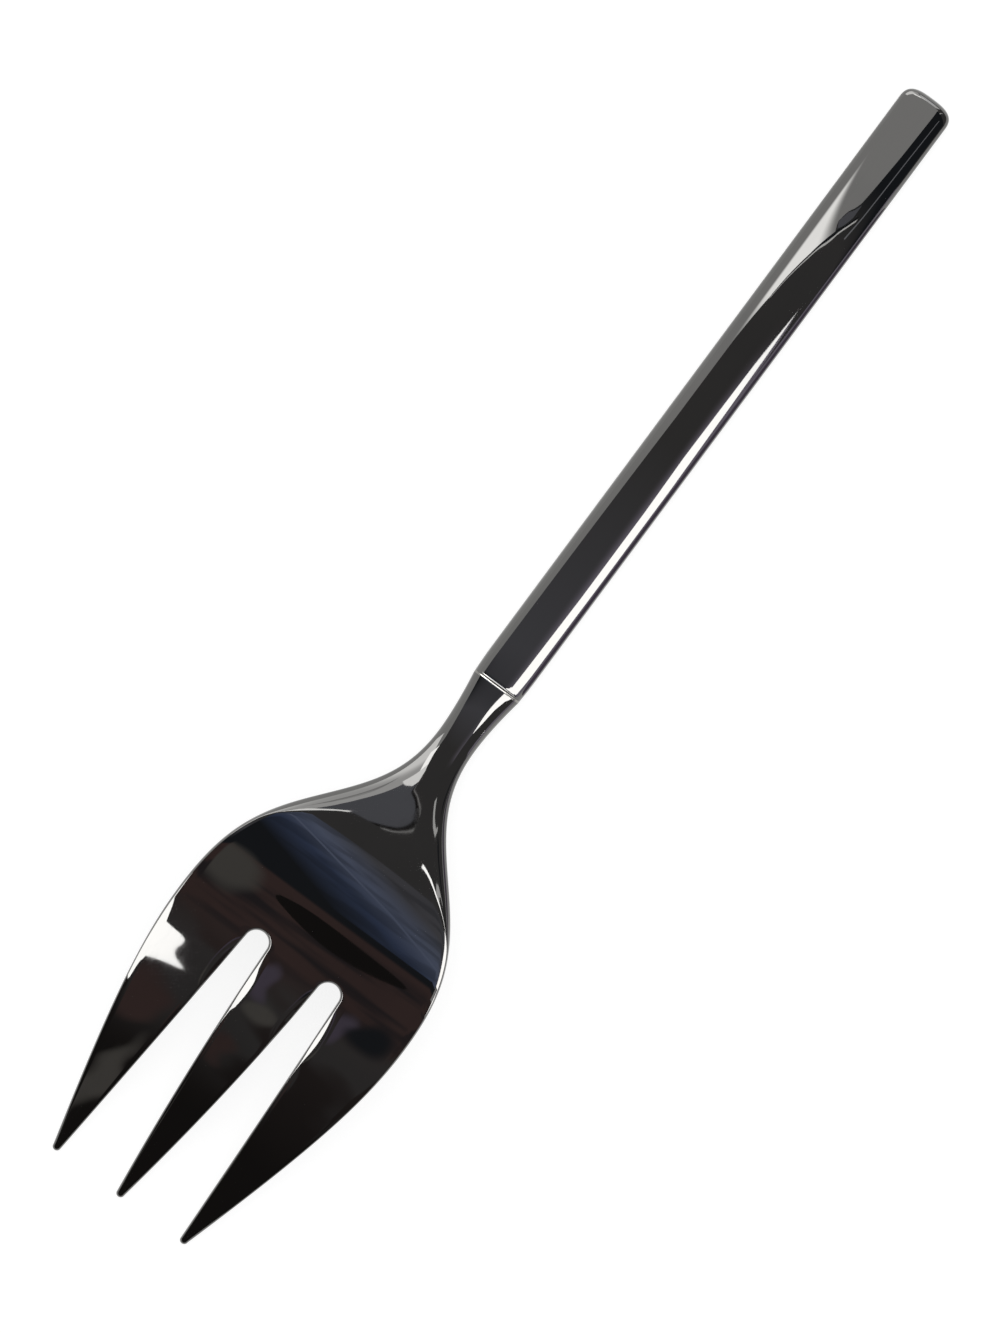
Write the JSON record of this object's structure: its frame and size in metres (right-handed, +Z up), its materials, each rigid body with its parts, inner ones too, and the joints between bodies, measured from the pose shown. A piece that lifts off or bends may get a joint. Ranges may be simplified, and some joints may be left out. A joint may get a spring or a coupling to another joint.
{
  "type": "serving fork",
  "caption": "Serving fork with a broad arched head, tapering tines, a slim waisted neck and a straight hollow bar handle in mirror-polished metal.",
  "frame": {"origin": "on the table, under the middle of the fork's length, with the fork lying back up", "axes": "+X along the fork from the butt of the handle to the tips of the tines, +Z up out of the fork's back, +Y across it"},
  "size_m": [0.235, 0.0474, 0.019],
  "materials": {
    "polished_steel": "mirror polished, dark, with fine wiping scratches",
    "silver_braze": "braze dressed flush and polished with the steel",
    "filler_cement": "matt set cement"
  },
  "bodies": {
    "root": {"fork_head": "polished_steel", "handle_back_shell": "polished_steel", "handle_front_shell": "polished_steel", "seam_braze": "silver_braze", "mouth_braze": "silver_braze", "handle_filler": "filler_cement"}
  },
  "joints": []
}
